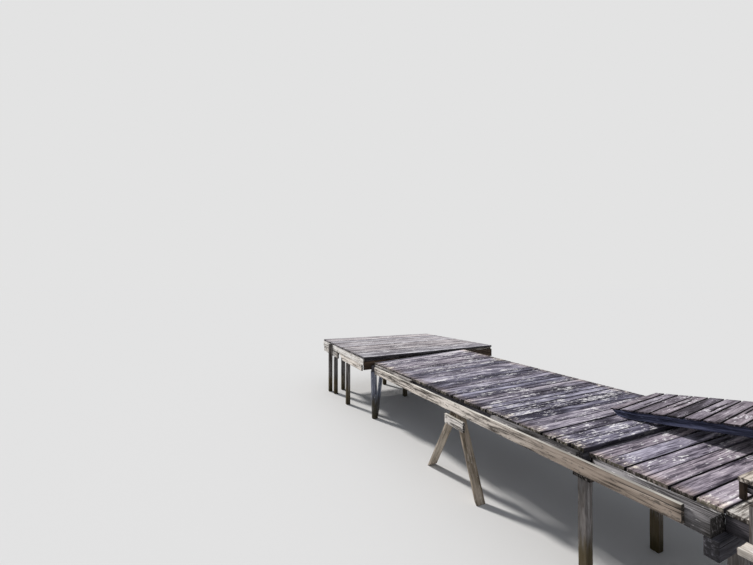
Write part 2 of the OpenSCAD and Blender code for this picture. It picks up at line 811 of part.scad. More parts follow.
placed() head_planks();
placed() head_rims();
placed() head_joists();
placed() head_beam_near_shore();
placed() head_beam_near_lake();
placed() head_beam_far();
placed() head_cross_shore();
placed() head_cross_lake();
placed() head_bearers();
placed() head_piles_near();
placed() head_piles_inner();
placed() head_piles_far();
placed() walkway_planks_lake();
placed() walkway_planks_shore();
placed() walkway_headers();
placed() joist_near();
placed() joist_middle();
placed() joist_far();
placed() packing_timbers();
placed() outer_beam_near();
placed() outer_beam_far();
placed() log_posts();
placed() log_props();
placed() trestle_legs();
placed() trestle_boards();
placed() trestle_ridge();
placed() shore_bent_cap();
placed() shore_bent_posts();
placed() lower_deck_planks();
placed() lower_deck_stringers();
placed() apron_boards();
placed() apron_stringers();
placed() apron_bearers();
placed() apron_posts();
placed() corner_posts();
placed() side_step_boards();
placed() side_step_rails();
placed() side_step_legs();
placed() landing_boards();
placed() landing_rails();
placed() landing_posts();
placed() ramp_planks();
placed() ramp_stringers();
placed() ramp_rest();
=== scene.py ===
import itertools
import math

import bpy
import numpy as np
from mathutils import Matrix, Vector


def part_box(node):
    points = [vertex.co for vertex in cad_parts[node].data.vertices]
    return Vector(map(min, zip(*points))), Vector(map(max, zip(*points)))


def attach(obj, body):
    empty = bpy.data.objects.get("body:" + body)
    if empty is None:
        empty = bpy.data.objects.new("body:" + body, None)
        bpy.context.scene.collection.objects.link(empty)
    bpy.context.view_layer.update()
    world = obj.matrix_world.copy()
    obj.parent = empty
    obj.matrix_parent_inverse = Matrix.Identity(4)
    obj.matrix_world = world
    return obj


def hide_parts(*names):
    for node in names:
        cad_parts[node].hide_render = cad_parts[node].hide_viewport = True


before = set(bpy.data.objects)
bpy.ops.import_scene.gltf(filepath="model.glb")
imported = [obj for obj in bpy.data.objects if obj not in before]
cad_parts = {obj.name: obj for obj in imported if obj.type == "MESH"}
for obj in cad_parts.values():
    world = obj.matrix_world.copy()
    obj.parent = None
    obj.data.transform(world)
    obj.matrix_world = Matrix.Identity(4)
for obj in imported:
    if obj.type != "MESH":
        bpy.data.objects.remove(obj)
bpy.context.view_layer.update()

MM = 0.001
TINY = 1e-9
UP = np.array([0.0, 0.0, 1.0])


def srgb(red, green, blue):
    """A colour written as 0 to 255 values, as the linear colour that a shader socket takes."""
    values = [v / 255 for v in (red, green, blue)]
    linear = [v / 12.92 if v <= 0.04045 else ((v + 0.055) / 1.055) ** 2.4 for v in values]
    return (*linear, 1.0)


def dimmed(colour, share):
    """A shader's colour made darker, or lighter with a share over 1."""
    return (*(c * share for c in colour[:3]), 1.0)


def unit(v):
    return v / np.linalg.norm(v)


# Reading the frame

# A board runs toward the first of these, and its outer face looks toward the second
ALONG_TOWARDS = np.array([0.6, 0.7, 1.0])
OUT_TOWARDS = np.array([0.1, -0.6, 1.0])

# A slice through a solid is taken as no thinner than this
THINNEST = 4 * MM

# How many corners a plain board has, and the most that any board has; a log has more
BOX_POINTS = 8
BOARD_POINTS = 24


def solids(node):
    """The separate solids of a CAD node, each as its points and faces, in the order of their places."""
    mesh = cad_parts[node].data
    points = np.array([v.co for v in mesh.vertices], float)
    points, index = np.unique(np.round(points, 5), axis=0, return_inverse=True)
    index = index.reshape(-1)
    faces = [tuple(index[list(p.vertices)]) for p in mesh.polygons]
    parent = list(range(len(points)))

    def root(a):
        while parent[a] != a:
            parent[a] = parent[parent[a]]
            a = parent[a]
        return a

    for face in faces:
        for other in face[1:]:
            parent[root(other)] = root(face[0])
    groups = {}
    for i in range(len(points)):
        groups.setdefault(root(i), []).append(i)
    found = []
    for members in groups.values():
        place = {m: k for k, m in enumerate(members)}
        inside = [tuple(place[i] for i in f) for f in faces if f[0] in place]
        found.append((points[members], inside))
    return sorted(found, key=lambda s: tuple(np.round(s[0].mean(0), 3)))


def side_normals(points, faces):
    """The directions of a solid's faces, the largest area first."""
    areas = {}
    for face in faces:
        a, b, c = (points[i] for i in face[:3])
        cross = np.cross(b - a, c - a)
        size = np.linalg.norm(cross)
        if size < TINY:
            continue
        normal = cross / size
        for key in areas:
            if abs(np.dot(key, normal)) > 0.999:
                areas[key] += size
                break
        else:
            areas[tuple(normal)] = size
    return [np.array(k) for k in sorted(areas, key=areas.get, reverse=True)]


def turned(v, towards):
    """v or its opposite, whichever points more towards a direction."""
    return v if np.dot(v, towards) >= 0 else -v


def board_axes(points, faces):
    """Along, across and out of a board's widest face, as three square directions."""
    spread = np.linalg.svd(points - points.mean(0))[2][0]
    sides = [n for n in side_normals(points, faces) if abs(np.dot(n, spread)) < 0.5]
    out = sides[0]
    others = [n for n in sides[1:] if abs(np.dot(n, out)) < 0.3]
    across = others[0] if others else unit(np.cross(out, spread))
    along = turned(unit(np.cross(across, out)), ALONG_TOWARDS)
    across = unit(np.cross(turned(out, OUT_TOWARDS), along))
    return along, across, unit(np.cross(along, across))


def section(local, at):
    """The low and the high corner of the box around a slice through a solid."""
    cut = []
    for a, b in itertools.combinations(local, 2):
        from_a = a[0] - at
        from_b = b[0] - at
        if from_a * from_b <= 0 and abs(from_a - from_b) > TINY:
            cut.append(a + (b - a) * from_a / (from_a - from_b))
    low = np.min(cut, axis=0)
    high = np.max(cut, axis=0)
    for axis in (1, 2):
        if high[axis] - low[axis] < THINNEST:
            middle = (high[axis] + low[axis]) / 2
            low[axis] = middle - THINNEST / 2
            high[axis] = middle + THINNEST / 2
    return low, high


def board_rails(points, axes):
    """Stations along a board, each with its four section corners in the order of (across, out)."""
    axes = np.array(axes)
    local = (points - points.mean(0)) @ axes.T
    if len(points) == BOX_POINTS:
        scaled = local / np.abs(local).max(0)
        signs = np.array(list(itertools.product((-1, 1), repeat=3)))
        nearest = np.argmax(scaled @ signs.T, axis=0)
        return np.array([0.0, 1.0]), points[nearest].reshape(2, 4, 3)
    start = local[:, 0].min()
    length = local[:, 0].max() - start
    shares = np.unique(np.concatenate([np.linspace(0, 1, 25), (local[:, 0] - start) / length]))
    rows = []
    for share in shares:
        low, high = section(local, start + length * min(max(share, 0.002), 0.998))
        at = start + length * share
        rows.append([[at, v, w] for v in (low[1], high[1]) for w in (low[2], high[2])])
    return shares, np.array(rows) @ axes + points.mean(0)


# How boards wear

# In millimetres: edge, the rounding of the edges; relief, the depth of the washed-out grain; cup;
# ragged, how far broken fibres reach in from the two ends; trim, the most that is cut off the two
# ends; inset, how far the sides stand back; crack_depth and crack_width. In metres: heart, how far
# the middle of the tree lies from the board's; along and across, the steps of the mesh. cracks is how
# many there are, and crack_len is a share of the board's length.
PLANK = dict(
    edge=5, relief=1.2, cup=2.0, ragged=(4, 3), trim=(4, 2), inset=(0, 1),
    cracks=(1, 3), crack_depth=(6, 18), crack_width=(2.5, 5), crack_len=(0.12, 0.6),
    heart=(0.02, 0.12), along=0.045, across=0.013)
ROUGH = dict(PLANK, edge=6, relief=1.6, ragged=(10, 6), trim=(12, 5), cracks=(2, 4))
RAMP = dict(PLANK, edge=3.5, inset=(2.5, 5), cracks=(0, 1))
TIMBER = dict(
    PLANK, edge=4, relief=1.0, cup=0.6, ragged=(2, 2), trim=(0, 0), inset=(0, 0),
    cracks=(2, 4), crack_depth=(4, 9), crack_len=(0.1, 0.5), along=0.05, across=0.016)
POST = dict(
    TIMBER, edge=6, relief=1.3, cracks=(3, 5), crack_depth=(8, 22), crack_len=(0.3, 0.9),
    heart=(0.0, 0.012), across=0.014)

# Mesh steps through a board are this much longer than the steps across it
THROUGH_STEP = 1.3

# How much of the edge rounding moves a point, by how many outer faces it lies on
ROUNDING = np.array([0, 0, 0.29, 0.42])

# Reach of the dirt along a board's edges, and of the worn stretch at its ends
EDGE_REACH = 14 * MM
END_REACH = 0.3

# Width of each of the three cracks that make up an open split, and how strongly painted shade blackens
# open gaps
SPLIT_WIDTH = 6 * MM
OPEN_GAP_SHADE = 4

# A side that stands back by more than these millimetres is painted near black as shade in the seam
SHOWN_SEAM = 1.5

# Where across a board its two nails go, and the least that they keep from its ends, in metres
NAIL_SHARES = (0.24, 0.76)
NAIL_CLEAR = 0.02

# Where the walkway's shore end lies
DECK_X = 2.97285

# Open splits in the ramp's planks: which plank, how far across it, and from and to along it
RAMP_SPLITS = {
    1: (0.34, 0.30, 0.74),
    3: (0.55, 0.36, 0.80),
    5: (0.35, 0.34, 0.79),
    7: (0.75, 0.43, 0.85),
    11: (0.4, 0.2, 0.6),
}

# Seams between deck boards that stand open: their place from the walkway's shore end toward the
# shore, and how many millimetres each board stands back at its near and at its far end
WIDE_SEAMS = [
    (-5.12, 4, 6), (-4.701, 6, 6), (-4.001, 2, 2), (-3.831, 3, 4), (-3.341, 5, 5),
    (-3.121, 4, 1), (-2.65, 4, 4), (-2.07, 5, 5), (-1.804, 5, 5), (-1.579, 1, 4),
    (-1.464, 4, 2), (-1.344, 6, 6), (-1.214, 7, 6), (-0.959, 3, 2), (-0.465, 10, 6),
    (-0.298, 3, 1), (0.346, 5, 6), (0.687, 4, 5), (0.858, 4, 5),
]

# Walkway boards that stand out: from and to along the deck, then what is their own, such as their
# tone, warmth and chalk, the millimetres that they are short at the near end, or an open split
STANDOUT = [
    ((-4.95, -4.78), dict(tone=1.5, warmth=0.7, chalk=0.9, split=(0.5, 0.0, 0.85))),
    ((-3.12, -2.83), dict(tone=0.85, warmth=0.5, chalk=0.6)),
    ((-2.82, -2.63), dict(tone=0.12, warmth=0.1)),
    ((-2.24, -2.07), dict(tone=0.15, warmth=0.1)),
    ((-1.80, -1.67), dict(tone=0.75, warmth=1.0)),
    ((-1.46, -1.25), dict(tone=0.75, warmth=0.2, chalk=0.5)),
    ((-1.22, -0.96), dict(tone=0.25, warmth=0.35, chalk=1.0)),
    ((-0.96, -0.79), dict(tone=0.12, warmth=0.1, chalk=0.4)),
    ((-0.79, -0.48), dict(tone=0.7, warmth=0.95, chalk=0.5)),
    ((-0.30, -0.14), dict(tone=0.6, warmth=0.4, chalk=0.85)),
    ((-0.14, 0.00), dict(tone=0.55, warmth=0.3, chalk=0.75, trim=34)),
]


def board_notes(centre):
    """What is written for a walkway board at a place."""
    for (low, high), notes in STANDOUT:
        if low < centre[0] - DECK_X < high:
            return notes
    return {}


def seam_width(corners, side, end):
    """How far a board's edge stands back from a wide seam, at one side and one end of it."""
    if abs(corners[0, 2, 0] - corners[0, 0, 0]) < 0.05:
        return 0.0
    place = corners[[0, -1]][:, [side, side + 1], 0].mean() - DECK_X
    for seam, at_near, at_far in WIDE_SEAMS:
        if abs(place - seam) < 0.014:
            return (at_near, at_far)[end] * MM
    return 0.0


# A random line is drawn for this many metres
WANDER_REACH = 40.0


def wander(rng, step, low=0.0, high=1.0):
    """A smooth random line: a function of distance with a new value every step."""
    knots = rng.uniform(low, high, int(WANDER_REACH / step) + 4)

    def line(x):
        t = np.clip(np.asarray(x) / step, 0, len(knots) - 2.001)
        i = t.astype(int)
        f = t - i
        f = f * f * (3 - 2 * f)
        return knots[i] * (1 - f) + knots[i + 1] * f

    return line


def spaced(length, step, edge, lines=(), gap=0.0):
    """Places over a length: close to both ends and around each line, even between them."""
    inner = np.linspace(edge, length - edge, max(2, int(round((length - 2 * edge) / step)) + 1))
    marks = []
    for line in lines:
        marks += [line - gap, line, line + gap]
    clear = [x for x in inner if all(abs(x - m) > gap * 1.3 for m in marks)]
    return np.unique(np.round([0.0, length] + marks + clear, 6))


# Gathering and closing meshes


class Batch:
    """Points, faces and marks of many pieces of wood, gathered for one mesh.

    The marks are what the material reads at each point: grain, its place in its own piece of wood; the
    wear and shade mark, how near it is to an edge and an end and how much painted shade darkens it in a
    crack or open seam; board, its piece's tone, warmth and chalk.
    """

    def __init__(self):
        self.points = []
        self.faces = []
        self.marks = {"grain": [], "wear": [], "board": []}
        self.count = 0

    def add(self, points, faces, **marks):
        self.points.append(points)
        self.faces.append(faces + self.count)
        for name, values in marks.items():
            self.marks[name].append(np.broadcast_to(values, points.shape))
        self.count += len(points)


def shell_faces(shell):
    """The faces of a block's outer points, which are numbered in the order of the block."""
    index = np.full(shell.shape, -1)
    index[shell] = np.arange(shell.sum())
    sheets = (
        (index[:, :, -1], False), (index[:, :, 0], True), (index[:, -1].T, False),
        (index[:, 0].T, True), (index[-1], False), (index[0], True))
    skin = []
    for sheet, flip in sheets:
        quads = np.stack([sheet[:-1, :-1], sheet[1:, :-1], sheet[1:, 1:], sheet[:-1, 1:]], -1)
        quads = quads.reshape(-1, 4)
        skin.append(quads[:, ::-1] if flip else quads)
    return np.concatenate(skin)


def tube_faces(rings):
    """The faces between the rings of a tube, where each row holds the numbers of a ring's points."""
    ahead = np.roll(rings, -1, 1)
    return np.stack([rings[:-1], ahead[:-1], ahead[1:], rings[1:]], -1).reshape(-1, 4)


def lid_faces(ring):
    """The faces that close a ring of points."""
    half, back = ring.reshape(2, -1)
    back = back[::-1]
    return np.stack([half[:-1], half[1:], back[1:], back[:-1]], -1)


# Making worn boards


class Block:
    """The points of a straight board before wear: u along, v across, and w from its back to its face."""

    def __init__(self, length, wide, thick, edge, look, cracks):
        self.length = length
        self.wide = wide
        self.thick = thick
        lines = [c["place"] for c in cracks]
        gap = max([c["width"] for c in cracks], default=0)
        along = spaced(length, look["along"], edge)
        self.rows = spaced(wide, look["across"], edge, lines, gap)
        through = spaced(thick, look["across"] * THROUGH_STEP, edge)
        self.u, self.v, self.w = np.meshgrid(along, self.rows, through, indexing="ij")
        self.outer = np.zeros((3, *self.u.shape), bool)
        self.outer[0, [0, -1]] = True
        self.outer[1, :, [0, -1]] = True
        self.outer[2, :, :, [0, -1]] = True


def drying_cracks(look, rng, length, wide, edge):
    """Cracks by chance: each runs in from one end of a board and closes toward its tip."""
    cracks = []
    fewest, most = look["cracks"]
    for _ in range(rng.integers(fewest, most + 1)):
        width = min(rng.uniform(*look["crack_width"]) * MM, wide / 12)
        place = rng.uniform(edge + 3 * width, wide - edge - 3 * width)
        if any(abs(place - c["place"]) < 4 * width + 4 * MM for c in cracks):
            continue
        top = rng.random() < 0.6
        depth = rng.uniform(*look["crack_depth"]) * MM
        size = rng.uniform(*look["crack_len"]) * length
        from_start = rng.random() < 0.5

        def reach(u, size=size, from_start=from_start):
            run = u if from_start else length - u
            return np.clip((size - run) / (0.35 * size), 0, 1)

        cracks.append(dict(
            place=place, width=width, top=top, depth=depth, reach=reach, gap_shade=1,
            wave=wander(rng, 0.12, -1, 1), swing=1.2 * width))
    return cracks


def open_cracks(split, rng, length, wide, thick):
    """A split that stands open through a board: three cracks side by side, the middle one crooked."""
    share, begin, stop = split

    def reach(u):
        return np.clip(np.minimum(u - begin * length, stop * length - u) / 0.05, 0, 1)

    wave = wander(rng, 0.12, -1, 1)
    return [
        dict(
            place=share * wide + side * SPLIT_WIDTH, width=SPLIT_WIDTH, top=True, depth=thick,
            reach=reach, gap_shade=OPEN_GAP_SHADE, wave=wave, swing=0.0 if side else 1.2 * SPLIT_WIDTH)
        for side in (-1, 0, 1)]


def wear_faces(block, edge, look, rng):
    """How far wear moves each point along, across and through a board."""
    spans = (block.length, block.wide, block.thick)
    inward = [np.sign(span / 2 - place) for span, place in zip(spans, (block.u, block.v, block.w))]

    # Rounded edges, worn more in some places
    usual = wander(rng, 0.16, 0.5, 1.5)(block.u)
    knocks = np.clip(wander(rng, 0.05, -8, 1)(block.u), 0, 1)
    shift = ROUNDING[block.outer.sum(0)] * edge * usual * (1 + 1.6 * knocks)
    moves = [np.where(outer, shift, 0) * way for outer, way in zip(block.outer, inward)]

    # Grain lines washed out of the faces and the sides
    bend = wander(rng, 0.5, -0.02, 0.02)(block.u)
    for axis, place in ((2, block.v), (1, block.w)):
        ridges = wander(rng, 0.011)(place + 0.03 + bend)
        strength = wander(rng, 0.35, 0.4, 1)(block.u)
        depth = look["relief"] * MM * ridges * strength
        moves[axis] += np.where(block.outer[axis] & ~block.outer[0], depth, 0) * inward[axis]

    # A little cup across the board
    cup = look["cup"] * MM * rng.uniform(0.2, 1)
    off_middle = (block.v / block.wide * 2 - 1) ** 2
    hollow = np.where(block.w > block.thick / 2, 1 - off_middle, -off_middle)
    moves[2] -= cup * hollow * np.abs(2 * block.w / block.thick - 1)
    return moves


def cut_cracks(block, cracks, moves):
    """Cuts the cracks into a board, and returns how much painted shade darkens each of its points inside
    the cracks.
    """
    gap_shade = np.zeros_like(block.u)
    for c in cracks:
        near = np.clip(1 - np.abs(block.v - c["place"]) / (12 * c["width"]), 0, 1)
        moves[1] += near * c["wave"](block.u) * c["swing"]
        row = np.argmin(np.abs(block.rows - c["place"]))
        reach = c["reach"](block.u[:, row])
        rise = block.w[:, row] if c["top"] else block.thick - block.w[:, row]
        drop = min(c["depth"], 0.85 * block.thick) * reach * rise / block.thick
        moves[2][:, row] -= drop if c["top"] else -drop
        shown = np.where(rise > 0.6 * block.thick, c["gap_shade"] * reach, 0)
        gap_shade[:, row] = np.maximum(gap_shade[:, row], shown)
    return gap_shade


def short_ends(block, look, more, rng):
    """How far a board is short at its two ends, with broken fibres."""
    trims = [rng.uniform(0, most) * MM for most in look["trim"]]
    fibres = [wander(rng, 0.014), wander(rng, 0.014)]
    over_end = block.v + 0.35 * block.w
    first, last = (
        trim + ragged * MM * fibre(over_end) ** 2
        for trim, ragged, fibre in zip(trims, look["ragged"], fibres))
    return first + more * MM, last


def set_back(block, corners, look, rng):
    """How far a board's two sides stand back: by chance, and at the wide seams."""
    share = block.u / block.length
    return [
        rng.uniform(*look["inset"]) * MM
        + seam_width(corners, side, 0) * (1 - share) + seam_width(corners, side, 1) * share
        for side in (0, 2)]


def into_solid(u, v, w, stations, corners):
    """Where points lie in a board's solid, from their shares of its length, width and thickness."""
    u, v, w = (np.clip(share, 0, 1) for share in (u, v, w))
    v = v[..., None]
    w = w[..., None]
    rails = [np.stack([np.interp(u, stations, corners[:, k, a]) for a in range(3)], -1) for k in range(4)]
    low_side = rails[0] * (1 - w) + rails[1] * w
    high_side = rails[2] * (1 - w) + rails[3] * w
    place = low_side * (1 - v) + high_side * v
    place[..., 2] = np.maximum(place[..., 2], 0)
    return place


def wood_board(batch, points, faces, look, rng, axes=None, nails=None, split=None):
    """Adds one worn board that fills a CAD solid."""
    axes = board_axes(points, faces) if axes is None else axes
    stations, corners = board_rails(points, axes)
    middle = corners.mean(1)
    length = np.linalg.norm(middle[-1] - middle[0])
    wide = np.linalg.norm(corners[:, 2] - corners[:, 0], axis=1).max()
    thick = np.linalg.norm(corners[:, 1] - corners[:, 0], axis=1).max()
    edge = min(look["edge"] * MM, thick / 5, wide / 5)
    notes = board_notes(middle.mean(0)) if look is ROUGH else {}

    cracks = drying_cracks(look, rng, length, wide, edge)
    split = notes.get("split", split)
    if split:
        cracks = open_cracks(split, rng, length, wide, thick)
    block = Block(length, wide, thick, edge, look, cracks)
    moves = wear_faces(block, edge, look, rng)
    gap_shade = cut_cracks(block, cracks, moves)
    first, last = short_ends(block, look, notes.get("trim", 0), rng)
    low, high = set_back(block, corners, look, rng)
    # Sides that stand back at a wide seam are painted near black as shade
    for row, back in ((0, low), (-1, high)):
        gap_shade[:, row, :-1] = OPEN_GAP_SHADE * np.clip(back[:, row, :-1] / MM - SHOWN_SEAM, 0, 1)
    u = first + (block.u + moves[0]) * (length - first - last) / length
    v = low + (block.v + moves[1]) * (wide - low - high) / wide
    w = block.w + moves[2]
    place = into_solid(u / length, v / wide, w / thick, stations, corners)

    # What the material reads
    heart = rng.uniform(*look["heart"], 2) * rng.choice([-1, 1], 2)
    if look["heart"][0] > 0:
        heart[0] *= 0.5
    grain = np.stack([u + rng.uniform(0, 30), v - wide / 2 + heart[0], w - thick / 2 + heart[1]], -1)
    at_edge = np.clip(1 - np.minimum(block.v, wide - block.v) / EDGE_REACH, 0, 1)
    at_end = np.clip(1 - np.minimum(block.u, length - block.u) / END_REACH, 0, 1)
    wear = np.stack([at_edge, at_end, gap_shade], -1)
    usual = zip(("tone", "warmth", "chalk"), rng.uniform(0, 1, 3))
    board = np.array([notes.get(name, value) for name, value in usual])

    shell = block.outer.any(0)
    batch.add(place[shell], shell_faces(shell), grain=grain[shell], wear=wear[shell], board=board)
    if nails:
        nail_down(*nails, place[:, :, -1], block.rows, axes, rng)


def nail_down(heads, lines, top, rows, axes, rng):
    """Adds two nail heads to a board over each joist."""
    for line in lines:
        for share in NAIL_SHARES:
            row = np.argmin(np.abs(rows - share * rows[-1] + rng.uniform(-8, 8) * MM))
            over = top[:, row]
            if over[0, 1] + NAIL_CLEAR < line < over[-1, 1] - NAIL_CLEAR:
                near_line = line + rng.uniform(-6, 6, 3) * MM
                at = np.array([np.interp(near_line[k], over[:, 1], over[:, k]) for k in range(3)])
                nail_head(heads, at, axes, rng)


def nail_head(batch, at, axes, rng):
    """Adds a low domed nail head that lies on a board's worn face."""
    turns = 12
    angles = np.linspace(0, 2 * np.pi, turns, endpoint=False)
    radius = rng.uniform(4.5, 6.5) * MM
    level = rng.uniform(0.2, 1.2) * MM
    rings = []
    for share, height in ((1.0, -3.0), (1.0, 0.0), (0.8, 0.9), (0.4, 1.3)):
        x = np.cos(angles) * share * radius
        y = np.sin(angles) * share * radius
        z = np.full(turns, (height - 0.6) * MM + level)
        rings.append(at + np.stack([x, y, z], -1) @ np.array(axes))
    index = np.arange(len(rings) * turns).reshape(-1, turns)
    skin = np.concatenate(rings)
    faces = np.concatenate([tube_faces(index), lid_faces(index[-1])])
    batch.add(skin, faces, grain=skin, wear=np.zeros(3), board=rng.uniform(0, 1, 3))


def rebated(points):
    """A stringer with a rebate as the corners of two boards: its first two rows, then the rest."""
    bottom = points[:, 2].min()
    rows = np.unique(np.round(points[:, 1], 4))
    parts = []
    for ys, top_rank in ((rows[:2], -1), (rows[1:], 0)):
        corners = []
        for y in ys:
            row = points[np.abs(points[:, 1] - y) < MM]
            tops = row[row[:, 2] > bottom + 0.01]
            for x in (row[:, 0].min(), row[:, 0].max()):
                heights = sorted(tops[np.abs(tops[:, 0] - x) < 2 * MM][:, 2])
                corners += [(x, y, bottom), (x, y, heights[top_rank])]
        parts.append(np.array(corners))
    return parts


# Making worn logs

LOG_SIDES = 40
LOG_LOBES = 8


def log_wear(angles, rows, rng):
    """How far a log's skin lies in from its CAD cylinder, in metres: lumps and shallow flutes."""
    lumps = np.zeros((len(rows), len(angles)))
    for k in range(LOG_LOBES):
        lobe = np.clip(np.cos(angles - 2 * np.pi * k / LOG_LOBES), 0, 1) ** 2
        lumps += lobe * wander(rng, 0.17)(rows)[:, None] * 0.5
    around = wander(rng, 0.22)(angles + 0.3)[None, :]
    along = wander(rng, 0.4, 0.3, 1)(rows)[:, None]
    return (4.5 * lumps + 2.2 * around * along) * MM


def wood_log(batch, points, rng):
    """Adds one worn log that fills a CAD cylinder, which may lean."""
    angles = np.linspace(0, 2 * np.pi, LOG_SIDES, endpoint=False)

    def ring(z):
        flat = points[np.abs(points[:, 2] - z) < 0.002]
        centre = (flat.max(0) + flat.min(0)) / 2
        away = flat - centre
        around = np.arctan2(away[:, 1], away[:, 0])
        order = np.argsort(around)
        radius = np.linalg.norm(away[:, :2], axis=1)
        return centre, np.interp(angles, around[order], radius[order], period=2 * np.pi)

    foot, foot_radius = ring(points[:, 2].min())
    head, head_radius = ring(points[:, 2].max())
    length = np.linalg.norm(head - foot)
    by_foot = np.array([0, 0.004, 0.012])
    between = np.linspace(0.03, length - 0.03, int(length / 0.035))
    rows = np.unique(np.concatenate([by_foot, length - by_foot, between]))
    share = (rows / length)[:, None]
    centre = foot * (1 - share) + head * share

    # Wear, rounded ends and three drying cracks, painted near black with shade down each crack
    radius = foot_radius * (1 - share) + head_radius * share - log_wear(angles, rows, rng)
    to_end = np.minimum(rows, length - rows)[:, None]
    radius = radius - 5 * MM * np.clip(1 - to_end / 0.012, 0, 1) ** 2
    gap_shade = np.zeros_like(radius)
    for _ in range(3):
        column = rng.integers(0, LOG_SIDES)
        size = rng.uniform(0.4, 0.9) * length
        reach = np.clip((size - np.abs(rows - rng.choice([0, length]))) / 0.2, 0, 1)
        radius[:, column] -= rng.uniform(6, 14) * MM * reach
        gap_shade[:, column] = np.maximum(gap_shade[:, column], reach)

    x = radius * np.cos(angles)
    y = radius * np.sin(angles)
    along = np.repeat(rows[:, None], LOG_SIDES, 1)
    skin = centre[:, None] + np.stack([x, y, np.zeros_like(x)], -1)
    grain = np.stack([along + rng.uniform(0, 30), x, y], -1)
    at_end = np.clip(1 - to_end / END_REACH, 0, 1) * np.ones_like(x)
    wear = np.stack([np.zeros_like(x), at_end, gap_shade], -1)

    # The sides, then each end as two rings and a lid
    count = radius.size
    index = np.arange(count).reshape(radius.shape)
    parts = [(skin.reshape(-1, 3), grain.reshape(-1, 3), wear.reshape(-1, 3))]
    faces = [tube_faces(index)]
    for end, flip in ((0, True), (-1, False)):
        outer = index[end]
        sheets = []
        for part in (0.7, 0.35):
            inner = count + np.arange(LOG_SIDES)
            count += LOG_SIDES
            flat = centre[end] + (skin[end] - centre[end]) * part
            parts.append((flat, grain[end] * [1, part, part], wear[end]))
            sheets.append(tube_faces(np.stack([outer, inner])))
            outer = inner
        sheets.append(lid_faces(outer))
        faces += [sheet[:, ::-1] if flip else sheet for sheet in sheets]
    skin, grain, wear = (np.concatenate(rows) for rows in zip(*parts))
    batch.add(skin, np.concatenate(faces), grain=grain, wear=wear, board=rng.uniform(0, 1, 3))


# Materials

# How often each noise changes in a metre along, across and through the grain
RING_DRIFT = (1.6, 7, 7)
FIBRES = (5, 260, 200)
STREAKS = (2.8, 50, 40)
BROAD_STREAKS = (1.8, 12, 10)
BLOTCHES = (13, 50, 40)
CLOUDS = (2.6, 5, 5)
SPOTS = (17, 36, 30)
KNOTS = (5, 14, 12)
RUST_SPOTS = (420, 420, 420)
RUST_PITS = (1300, 1300, 1300)

# Year rings in a metre, and how dark their late wood is
RINGS = 165
LATE_WOOD = 0.14


class Nodes:
    """Adds nodes to a new material, and links them to what they are given."""

    def __init__(self, name):
        self.material = bpy.data.materials.new(name)
        self.material.use_nodes = True
        self.tree = self.material.node_tree
        self.shader = self.tree.nodes["Principled BSDF"]

    def put(self, socket, value):
        if isinstance(value, bpy.types.NodeSocket):
            self.tree.links.new(value, socket)
        else:
            socket.default_value = value

    def new(self, kind, **inputs):
        node = self.tree.nodes.new("ShaderNode" + kind)
        for name, value in inputs.items():
            self.put(node.inputs[name], value)
        return node

    def math(self, operation, *values, clamp=False):
        node = self.new("Math")
        node.operation = operation
        node.use_clamp = clamp
        for socket, value in zip(node.inputs, values):
            self.put(socket, value)
        return node.outputs[0]

    def add(self, a, b):
        return self.math("ADD", a, b)

    def times(self, a, b, clamp=False):
        return self.math("MULTIPLY", a, b, clamp=clamp)

    def swing(self, value, size):
        """A value from 0 to 1 as a swing around zero."""
        return self.times(self.math("SUBTRACT", value, 0.5), size)

    def blend(self, *shares):
        """The sum of values, each times its share."""
        total, *rest = [self.times(value, share) for value, share in shares]
        for part in rest:
            total = self.add(total, part)
        return total

    def mark(self, name):
        node = self.new("Attribute")
        node.attribute_name = name
        return node.outputs["Vector"]

    def parts(self, vector):
        return self.new("SeparateXYZ", Vector=vector).outputs

    def place(self):
        """Where a point lies in the frame, as x, y and z."""
        return self.parts(self.new("TexCoord").outputs["Object"])

    def facing_up(self, low, high):
        """0 where a face looks sideways or down, 1 where it looks up."""
        return self.band(self.parts(self.new("NewGeometry").outputs["Normal"])[2], low, high)

    def noise(self, vector, changes, detail, rough=0.5):
        scaled = self.new("VectorMath")
        scaled.operation = "MULTIPLY"
        self.put(scaled.inputs[0], vector)
        self.put(scaled.inputs[1], changes)
        node = self.new("TexNoise", Vector=scaled.outputs[0], Scale=1, Detail=detail, Roughness=rough)
        return node.outputs["Fac"]

    def band(self, value, low, high):
        """0 below low, 1 above high, smooth between."""
        node = self.new("MapRange", **{"Value": value, "From Min": low, "From Max": high})
        node.interpolation_type = "SMOOTHSTEP"
        return node.outputs["Result"]

    def ramp(self, value, stops):
        """A colour that goes through the stops, each a place from 0 to 1 and a colour."""
        node = self.new("ValToRGB", Fac=value)
        elements = node.color_ramp.elements
        while len(elements) < len(stops):
            elements.new(0.5)
        for element, (place, colour) in zip(elements, stops):
            element.position = place
            element.color = colour
        return node.outputs[0]

    def mix(self, share, a, b, kind="MIX"):
        node = self.new("Mix")
        node.data_type = "RGBA"
        node.blend_type = kind
        for socket, value in ((0, share), (6, a), (7, b)):
            self.put(node.inputs[socket], value)
        return node.outputs[2]

    def bump(self, height, strength, distance):
        node = self.new("Bump", Height=height, Strength=strength, Distance=distance)
        self.put(self.shader.inputs["Normal"], node.outputs[0])


